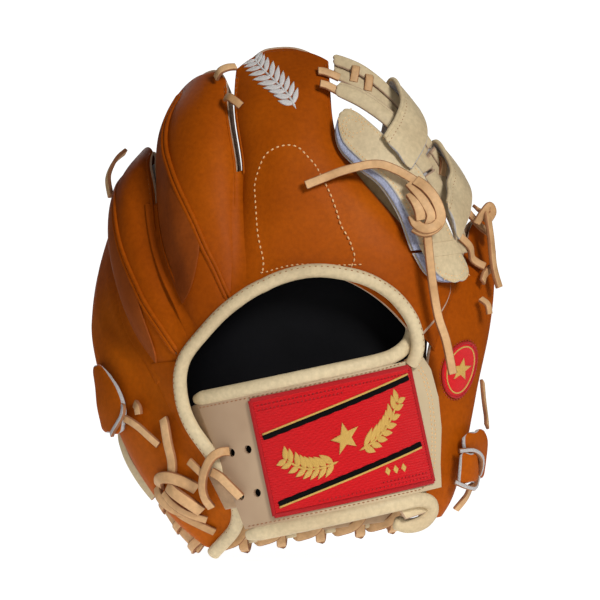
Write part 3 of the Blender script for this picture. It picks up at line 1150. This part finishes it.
def bar(name, rows, thick, mats, start=0.0, end=1.0, k0=0.0, k1=1.0, lift=0.0, round_start=0.0,
        round_end=0.0,
        across=16, along=70, belly=0.0):
    """Part of a web bar from edge share k0 to k1, its ends rounded over a length in mm, its face arched."""
    n = len(rows) - 1
    mid = crom(rows, np.linspace(start * n, end * n, 60))
    length = float(np.sum(np.linalg.norm(np.diff((mid[:, :3] + mid[:, 3:6]) / 2, axis=0), axis=1)))
    width = float(np.mean(np.linalg.norm(mid[:, 3:6] - mid[:, :3], axis=1))) * (k1 - k0)

    def place(K, T):
        r = crom(rows, (start + (end - start) * T) * n)
        squeeze = np.ones_like(T)
        for reach, away in ((round_start, T * length), (round_end, (1 - T) * length)):
            if reach:
                squeeze = squeeze * np.sqrt(1 - np.clip(1 - np.clip(away, 0.05, None) / reach, 0, 1)**2)
        k = (k0 + k1) / 2 + (k1 - k0) * (K - 0.5) * np.maximum(squeeze, 0.08)
        p = r[..., :3] * (1 - k[..., None]) + r[..., 3:6] * k[..., None]
        p[..., 2] += lift + belly * (1 - (2 * K - 1)**2)
        return bend(p)
    # the face is the outer side, whichever way the strip runs
    k, t = np.array([0.4, 0.6, 0.5, 0.5]), np.array([0.9, 0.9, 0.88, 0.92])
    q = place(k, t)
    if np.dot(np.cross(q[1] - q[0], q[3] - q[2]),
              outward(on_strip(rows, 0.5, start + (end - start) * 0.9))) < 0:
        return pillow(name, lambda K, T: place(1 - K, T), width, length, thick, across, along, mats)
    return pillow(name, place, width, length, thick, across, along, mats)


def bar_line(rows, k, start, end, lift, count=120):
    path = on_strip(rows, np.full(count, k) if np.ndim(k) == 0 else k, np.linspace(start, end, count), lift)
    return lay(path)


# base bar: felt between two leathers, showing along its left edge and round its ends
for tag, start, end, body, node, ends in (("upper", 0.0, BASE_FOLD - SLIT, HAND, "web_base_bar_upper",
                                           (9, 0)),
                                          ("lower", BASE_FOLD + SLIT, 1.0, THUMB_SIDE, "web_base_bar_lower",
                                           (0, 11))):
    along = 90 if tag == "upper" else 24
    piece(bar(f"base_bar_{tag}_leather", BASE_BAR, 1.7, (CREAM, RAW, GREY_EDGE), start, end, 0.16, 0.99,
              BASE_T / 2 - 0.85, *ends, 20, along, 0.6), body, node)
    piece(bar(f"base_bar_{tag}_felt", BASE_BAR, 2.2, FELT, start, end, 0.03, 0.97, 0.15, *ends, 20, along),
          body)
    piece(bar(f"base_bar_{tag}_backing", BASE_BAR, 0.9, (CREAM, CREAM, GREY_EDGE), start, end, 0.0, 0.985,
              -BASE_T / 2 + 0.75, *ends, 20, along), body)
piece(bar("base_bar_inner", BASE_INNER, 2.2, (CREAM, CREAM, RAW), 0,
          BASE_FOLD - SLIT - 0.02, 0, 1, 0, 4, 0), HAND)
cover = bar("base_bar_fold_cover", BASE_BAR, 0.8, (CREAM, RAW, CREAM), BASE_FOLD - 0.03, BASE_FOLD + 0.03,
            0.15, 0.985,
            BASE_T / 2 + 0.1, 0, 0, 20, 16, 0.6)
fold = bend(on_strip(BASE_BAR, np.array([0.5, 0.5]), np.array([BASE_FOLD - 0.02, BASE_FOLD + 0.02])))
tuple(fold[0])
tuple(fold[1])
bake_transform(cover)
for name, k, start, end, body in (("base_bar_sewing_left", 0.25, 0.03, 0.83, HAND),
                                  ("base_bar_sewing_right", 0.9, 0.03, 0.83, HAND),
                                  ("base_bar_sewing_low_left", 0.27, 0.85, 0.97, THUMB_SIDE),
                                  ("base_bar_sewing_low_right", 0.88, 0.85, 0.97, THUMB_SIDE)):
    p, n = bar_line(BASE_BAR, k, start, end, BASE_T / 2 + 0.25)
    piece(stitches(name, p, n, THREAD_TAN, 2.1, 0.6, 0.5, 0.1), body)
# the stitched scroll at the top of the base bar
turn = np.linspace(0, 2 * math.pi * 1.6, 90)
radius = 0.30 - 0.16 * turn / turn[-1]
p, n = lay(on_strip(BASE_BAR, 0.58 + radius * np.cos(turn + 2.2),
                    0.115 + 0.22 * radius * np.sin(turn + 2.2), BASE_T / 2 + 0.5))
piece(stitches("base_bar_scroll", p, n, THREAD_TAN, 2.0, 0.6, 0.5, 0.1), HAND)
# the fan of stitches round the base bar's lower end
fan = np.linspace(0, 1, 40)
for i, (k_in, t_in) in enumerate(((0.28, 0.968), (0.36, 0.945))):
    p, n = lay(on_strip(BASE_BAR, k_in + (1.14 - 2 * k_in) * fan, t_in + 0.018 * np.sin(math.pi * fan),
                        BASE_T / 2 + 0.5))
    piece(stitches(f"base_bar_fan_{i + 1}", p, n, THREAD_TAN, 1.9, 0.6, 0.5, 0.1), THUMB_SIDE)

for tag, start, end, body in (("upper", 0.0, BAR_FOLD - SLIT, HAND),
                              ("lower", BAR_FOLD + SLIT, 1.0, THUMB_SIDE)):
    ends = (3, 0) if tag == "upper" else (0, 3)
    # middle bar: one leather folded over, its two edges meeting along a line
    piece(bar(f"middle_bar_{tag}_fold", MIDDLE_BAR, 1.7, (CREAM, CREAM, RAW), start, end, 0.0, 0.78, 0.75,
              *ends, 16, 60, 0.9), body, f"web_middle_bar_{tag}")
    piece(bar(f"middle_bar_{tag}_back", MIDDLE_BAR, 1.5, (CREAM, CREAM, RAW), start, end, 0.3, 1.0, -0.8,
              *ends, 16, 60), body)
    # top bar: two narrow strips side by side
    piece(bar(f"top_bar_{tag}_strip_a", TOP_BAR, 2.2, (CREAM, CREAM, RAW), start, end, 0.0, 0.46, 0.3,
              *ends, 12, 60, 0.5), body, f"web_top_bar_{tag}")
    piece(bar(f"top_bar_{tag}_strip_b", TOP_BAR, 2.2, (CREAM, CREAM, RAW), start, end, 0.54, 1.0, -0.2,
              *ends, 12, 60, 0.5), body)
    piece(bar(f"top_bar_{tag}_backing", TOP_BAR, 0.9, (CREAM, CREAM, RAW), start, end, 0.1, 0.9, -1.2,
              *ends, 12, 60), body)

for tag, rows, body, node in (("index", INDEX_POST, HAND, "web_index_post"),
                              ("thumb", THUMB_POST, THUMB_SIDE, "web_thumb_post")):
    piece(bar(f"{tag}_post_band", rows, 2.0, (CREAM, GREY_EDGE, GREY_EDGE), 0, 1, 0.0, 1.0, 0, 2, 2, 24,
              150, 0.5), body, node)
    # the folded lip along its left edge and the sewing beside it
    p, n = bar_line(rows, 0.05, 0.32, 0.995, 0.9)
    piece(sweep(f"{tag}_post_lip", p, n, circle(2.4, 12), CREAM), body)
    p, n = bar_line(rows, 0.2, 0.45, 0.985, 1.3)
    piece(stitches(f"{tag}_post_sewing", p, n, THREAD_BROWN, 2.4, 0.6, 0.45, 0.05), body)

# ================= laces =================
flat_lace("index_web_lace_low", [[10.5, 129.4, 23.6], [14, 129, 22.4], [18, 127.8, 20.6], [22, 126, 19.6]],
          HAND, replaces=("web_index_lace",))
flat_lace("index_web_lace_high", [[9.5, 138.8, 18], [13, 138.8, 17], [17, 138, 15.4], [20.6, 137, 14]],
          HAND)
flat_lace("fingertip_lace_high", [[-47.5, 136.4, 15.4], [-44, 138.6, 18.6], [-40, 140.6, 18.4],
                                  [-36.4, 142.4, 15.6]], HAND, replaces=("fingertip_lace",))
flat_lace("fingertip_lace_low", [[-38.5, 124.4, 18.4], [-35.5, 123.4, 21.2], [-32.4, 121.2, 21.6],
                                 [-29.6, 119, 21]], HAND)
flat_lace("web_thumb_lace_low", [[74, 56, 21.6], [80, 51, 21.4], [84, 45, 19], [88, 41, 23]], THUMB_SIDE,
          replaces=("web_thumb_lace",))
flat_lace("web_thumb_lace_high", [[86, 70, 13.4], [91, 66, 13.6], [95, 62, 14.5], [99, 58, 18]], THUMB_SIDE)
# lumps of lacing along the web's top edge
for i, (u, v) in enumerate(((29, 143), (37, 138), (62, 108), (74, 94))):
    flat_lace(f"web_edge_lace_{i + 1}", [[u, v - 7, 11.5], [u + 1.5, v - 1, 12.6], [u + 2.4, v + 2.6, 9.6],
                                         [u + 2, v + 1.6, 6]],
              HAND if u < 66 else THUMB_SIDE)
flat_lace("thumb_tip_loop", [[92.5, 71, 14.6], [92, 69.5, 17], [92, 66, 21], [93, 61, 22], [96, 56, 20.5]],
          THUMB_SIDE, replaces=("thumb_tip_lace",))
flat_lace("thumb_tip_turn", [[84, 33, 25.5], [87, 37, 24], [92, 40, 23]], THUMB_SIDE)
free_lace("thumb_tip_wrap", [[93, 42, 64], [97, 40, 70], [100, 40.5, 73], [101.5, 42, 69.5], [98, 42, 64]],
          THUMB_SIDE, [0.5, -0.85, 0.1])
free_lace("thumb_side_end", [[95, 33, 24], [98.5, 31, 21], [99.5, 31, 16]], THUMB_SIDE,
          [0.5, -0.85, 0.1], 3.6)

# strap lace: a crescent from the strap's hole over the binding, crossed by a second strand
free_lace("strap_lace_crescent", [[-37, -8.4, -55], [-41.5, -10.6, -55.6], [-46.2, -10.0, -59],
                                  [-49.6, -6.4, -66], [-50.6, -2.6, -74], [-49.2, 0.6, -80],
                                  [-46, 3.2, -84.6]],
          HAND, [-0.45, -0.89, 0], 4.8, 1.9, 50)
free_lace("strap_lace_strand", [[-45.5, -5.4, -66], [-41, -9.2, -68.6], [-36.5, -10.6, -73],
                                [-32.8, -11.2, -76.6], [-30.9, -10.6, -78.6]],
          HAND, [-0.4, -0.9, 0], 5.0, 2.0, 40)
free_lace("strap_lace_end", [[-57.6, -1.5, -60.4], [-54.4, -3.6, -63.4], [-50.6, -4.4, -67]], HAND,
          [-0.5, -0.85, 0], 4.2, 1.7, 24)
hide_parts("wrist_lace")


# the knot on the base bar, where both long tails start
free_lace("web_knot_outer", [[60, -4.5, 85.5], [65, -6.6, 82], [69.5, -7.6, 76.5], [72.4, -7.2, 70],
                             [72.6, -7, 64.4], [69, -8.6, 60.2], [63.6, -9, 59], [59.4, -7, 61]],
          HAND, [0.25, -0.95, 0.1], 5.6, 2.0, 60)
free_lace("web_knot_middle", [[56.6, -3.4, 84], [60.6, -6.2, 79.4], [64.8, -8.2, 73.6], [67.8, -8.4, 67.4],
                              [66.4, -8.4, 61.6]],
          HAND, [0.25, -0.95, 0.1], 5.0, 1.9, 50)
free_lace("web_knot_inner", [[57.4, -4.4, 78.4], [59.8, -7.6, 74.6], [61.8, -8.8, 70], [62.6, -7.6, 65.2]],
          HAND, [0.2, -0.97, 0.1], 5.6, 2.6, 40)
free_lace("web_knot_wrap", [[58.4, -4.6, 66.6], [60.2, -8.2, 62.8], [64.6, -10.2, 60.4], [69.4, -9.6, 61.4],
                            [72.6, -6.2, 64.6]], HAND, [0.2, -0.97, 0.1], 5.2, 2.0, 46)
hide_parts("web_lace_knot")

# little finger loop with its laces and the knot below it
LOOP_ROWS = [[-94, -12, 33.4, -85, -11, 34.4], [-91, -22, 34, -75, -22, 35.6],
             [-89, -33, 34.4, -71, -34, 35.6], [-87, -45, 32.6, -73, -46, 34.8]]
piece(bar("pinky_loop_band", LOOP_ROWS, 2.6, (TAN, RAW, GREY_EDGE), 0, 1, 0, 1, 0, 6, 3, 20, 50, 1.2),
      PINKY_SIDE, "pinky_loop")
flat_lace("pinky_loop_tie", [[-73, -38, 35.2], [-68.4, -40.4, 35.4], [-65, -43, 34.8], [-61.6, -46.4, 34.4],
                             [-57.6, -51, 33]],
          PINKY_SIDE, 4.0, 1.9, replaces=("pinky_loop_lace",))
flat_lace("pinky_loop_turn", [[-74, -31, 34.6], [-71, -33, 37.4], [-71.6, -38, 38], [-76, -44.6, 37.6],
                              [-79.6, -46.6, 34.6]], PINKY_SIDE, 2.6, 2.0, face=GREY_EDGE)
flat_lace("pinky_loop_knob", [[-69, -31, 31.6], [-66.4, -33, 33.8], [-66, -36.4, 33.6]], PINKY_SIDE, 4.6,
          2.2)
flat_lace("pinky_loop_band_lace", [[-112, 72, 15.5], [-115, 74, 17.5], [-118, 74, 16.5], [-121, 72, 15.5]],
          PINKY_SIDE)
flat_lace("pinky_heel_strand", [[-55.6, -38.6, 32.4], [-54.4, -42, 33.8], [-53.6, -50, 33.2],
                                [-53, -59, 31], [-54, -68, 29.4]],
          PINKY_SIDE, 5.4, 1.9, replaces=("pinky_heel_lace",))
flat_lace("pinky_heel_wrap_high", [[-62, -71.4, 25.6], [-59, -67.4, 30.4], [-54, -66.4, 32.4],
                                   [-48.4, -68.4, 31.6], [-44.6, -72, 27.6]], PINKY_SIDE, 6.4, 2.4)
flat_lace("pinky_heel_wrap_low", [[-55, -70.6, 30.6], [-51.6, -73.4, 33], [-47, -78, 31.6],
                                  [-43.4, -83, 26.6]], PINKY_SIDE, 6.4, 2.4)
flat_lace("pinky_heel_wrap_back", [[-63, -72, 25.4], [-60, -76.4, 29], [-55.4, -81.4, 28.6],
                                   [-50.6, -84.6, 25.4]], PINKY_SIDE, 5.2, 2.2)
flat_lace("pinky_heel_tail_a", [[-58, -74, 29.6], [-54.5, -79, 29.6], [-49.5, -84, 27.4], [-42.5, -88, 23]],
          PINKY_SIDE, 4.0, 1.7)
flat_lace("pinky_heel_tail_b", [[-57, -78, 28.6], [-52.5, -85, 26.4], [-46, -91, 21.4], [-41, -95, 17.6]],
          PINKY_SIDE, 4.2, 1.7)
flat_lace("pinky_heel_edge", [[-103, -43, 4], [-95, -57, 5], [-85, -72, 5], [-70, -93, 5], [-55, -107, 5]],
          PINKY_SIDE, 6.4, 2.6, 60)
flat_lace("pinky_side_binding", [[-90.5, -44.5, 20], [-87.5, -50, 21.5], [-82.5, -59.5, 21.5],
                                 [-76.5, -69.5, 20], [-71, -78, 17.6]], PINKY_SIDE, 6.0, 2.0, 60, face=CREAM)
for i in range(6):
    k = i / 5
    u, v = -101 + 44 * k, -46 - 58 * k**0.85
    flat_lace(f"pinky_heel_loop_{i + 1}", [[u + 5, v + 4, 8.6], [u - 1, v - 0.5, 8.8],
                                           [u - 4.4, v - 3.4, 5.4], [u - 3, v - 2, 1.6]], PINKY_SIDE, 5.0,
                                           1.8, 24)
# laces that show along the little finger's outer edge
for i, v in enumerate((-32, -18, -2, 12)):
    u = float(np.interp(v, [-48, -28, -5, 16], [-92, -102, -115, -130]))
    flat_lace(f"pinky_edge_lace_{i + 1}", [[u + 3, v - 5, 8.5], [u - 2.6, v - 2, 7.5], [u - 4.2, v + 2, 4],
                                           [u - 1, v + 5, 0.2]], PINKY_SIDE, 4.6, 1.7, 24)

# thumb loop with its laces
THUMB_LOOP = [[73.5, -47, 24.5, 86, -44, 23], [73.5, -52, 24.5, 92, -50, 21], [78, -60, 22, 94, -60, 19],
              [84, -68, 19, 95.5, -69, 17]]
piece(bar("thumb_loop_band", THUMB_LOOP, 2.4, (TAN, RAW, GREY_EDGE), 0, 1, 0, 1, 0, 3, 3, 16, 50, 0.8),
      THUMB_SIDE, "thumb_loop")
THUMB_BAND = [[70.5, -55.5, 27, 79, -56, 26.6], [70.2, -62, 27, 81, -62, 26], [70.6, -70, 26, 82, -69, 25]]
piece(bar("thumb_front_band", THUMB_BAND, 2.4, (TAN, RAW, GREY_EDGE), 0, 1, 0, 1, 0, 2, 2, 16, 50, 1.6),
      THUMB_SIDE)
flat_lace("thumb_loop_edge_high", [[70.6, -54.4, 26.4], [76, -54.0, 28.6], [82, -57, 27], [86.5, -62, 23.4],
                                   [89, -67, 20]], THUMB_SIDE, 2.4, 2.4, face=GREY_EDGE)
flat_lace("thumb_loop_edge_low", [[69.6, -69.4, 25.4], [74, -71.6, 27.4], [80, -72.6, 26], [86, -70, 21.5],
                                  [90, -66, 18.4]], THUMB_SIDE, 2.4, 2.4, face=GREY_EDGE)
flat_lace("thumb_loop_lace_high", [[110, -20, 8.6], [105, -28, 11.5], [99, -36, 15.6], [92.5, -43, 20.6]],
          THUMB_SIDE, replaces=("thumb_loop_lace",))
flat_lace("thumb_loop_lace_low", [[80, -71, 24], [82, -78, 19], [80, -85, 15]], THUMB_SIDE)
for i, (v, u) in enumerate(((-60, 84), (-38, 89.5), (-14, 96.5), (8, 104.5), (26, 110))):
    flat_lace(f"thumb_edge_lace_{i + 1}", [[u - 3, v - 4, 5.2], [u + 2.0, v - 1, 5.4], [u + 3.6, v + 2, 3],
                                           [u, v + 5, 0]], THUMB_SIDE, 4.6, 1.7, 24)

# heel: a rolled edge with the lacing wound round it, and leather up behind the strap
def heel_v(u):
    return -104.2 + 13.5 * (np.asarray(u, float) + 49) / 106


us = np.linspace(-49, 55, 70)
points, normals = lay(np.stack([us, heel_v(us), np.full(70, 4.6)], 1))
piece(sweep("heel_roll", points, normals, circle(4.8, 14), CREAM), HAND, "heel_lace")
for i, u in enumerate((-34, -14.5, 6, 26.5, 44)):
    v = float(heel_v(u))
    flat_lace(f"heel_lace_{i + 1}", [[u + 6.5, v + 15, 9.2], [u + 5.5, v + 7, 9.6], [u + 1.5, v + 1.2, 9.6],
                                     [u - 4.4, v - 1.6, 7.8], [u - 7.4, v - 2.6, 4.6],
                                     [u - 6.0, v + 1, 0.8]], HAND, 5.0, 2.0, 44)
    flat_lace(f"heel_turn_{i + 1}", [[u + 4.4, v + 3.6, 8.4], [u + 4.8, v - 2.4, 8.2],
                                     [u + 5.0, v - 4.2, 4.6], [u + 5.6, v, 0.8]], HAND, 5.2, 2.0, 30)


def heel_inner(K, T):
    u = -46 + 100 * K
    return bend(np.stack([u, heel_v(u) + 1 + 17 * T, 9.8 - 0.6 * T], -1))


piece(pillow("heel_leather", heel_inner, 100, 17, 1.0, 40, 12, (BEIGE, BLACK, RAW)), HAND)

# ================= the record's material slots =================
SLOTS = ((("_lace", "tail_", "web_knot", "pinky_heel_", "_tie", "_wrap", "lace_strand", "thumb_tip",
           "thumb_side_end", "strap_lace"), "lace"),
         (("_lining",), "black_lining"), (("patch_", "badge_"), "patch_red"),
         (("emblem_",), "emblem_thread"),
         (("_pad", "_board"), "felt"),
         (("opening_roll", "_roll_stitches", "strap_", "base_bar", "middle_bar", "top_bar", "_post_",
           "thumb_loop_band", "heel_roll"), "camel_leather"),
         (("_panel", "_welt", "_gusset", "_shell", "pinky_loop_band", "index_"), "tan_leather"))
for obj in bpy.data.objects:
    if obj.type == "MESH" and "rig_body" in obj and "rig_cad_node" not in obj:
        for words, slot in SLOTS:
            if any(w in obj.name for w in words):
                break

# ================= floor, light and world =================
FLOOR_GLOW, WORLD_GLOW, BACKDROP_Y = 0.92, 0.10, 5.0
low = min(p[2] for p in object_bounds())
bpy.ops.mesh.primitive_circle_add(vertices=96, radius=0.42, fill_type="NGON", location=(0, 0, low - 0.0005))
floor = bpy.context.object
floor.name = "floor"
m, t, b = material("pale_floor", (0.4, 0.4, 0.4), 0.9, 0.0)
t.links.new(ramp(t, noise(t, coordinates(t), 3.0), [(0.3, (0.38, 0.38, 0.38)), (0.7, (0.42, 0.42, 0.42))]),
            b.inputs["Base Color"])
b.inputs["Emission Color"].default_value = (1, 1, 1, 1)
b.inputs["Emission Strength"].default_value = FLOOR_GLOW
floor.data.materials.append(m)
bpy.ops.mesh.primitive_plane_add(size=3, location=(0, BACKDROP_Y, 0.5), rotation=(math.radians(90), 0, 0))
backdrop = bpy.context.object
backdrop.name = "backdrop"
m, t, b = material("white_backdrop", (0.9, 0.9, 0.9), 0.9, 0.0)
b.inputs["Emission Color"].default_value = (1, 1, 1, 1)
b.inputs["Emission Strength"].default_value = 1.0
backdrop.data.materials.append(m)
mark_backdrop(floor, backdrop)

world = bpy.data.worlds.new("studio")
bpy.context.scene.world = world
world.use_nodes = True
world.node_tree.nodes["Background"].inputs["Color"].default_value = (1, 1, 1, 1)
world.node_tree.nodes["Background"].inputs["Strength"].default_value = WORLD_GLOW
bpy.context.scene.view_settings.view_transform = "Standard"


def area_light(name, at, aim, size, power, color=(1, 1, 1)):
    data = bpy.data.lights.new(name, "AREA")
    data.shape, data.size, data.energy, data.color = "DISK", size, power, color
    obj = bpy.data.objects.new(name, data)
    obj.location = at
    obj.rotation_euler = (Vector(aim) - Vector(at)).to_track_quat("-Z", "Y").to_euler()
    bpy.context.scene.collection.objects.link(obj)
    return obj


area_light("key", (0.75, -1.25, 0.75), (0, 0, 0), 0.5, 20)
area_light("fill", (-0.3, -1.6, 0.2), (0, 0, -0.02), 0.7, 2.6)
area_light("rim", (-0.5, 1.2, 0.9), (0, 0, 0.02), 0.6, 4)
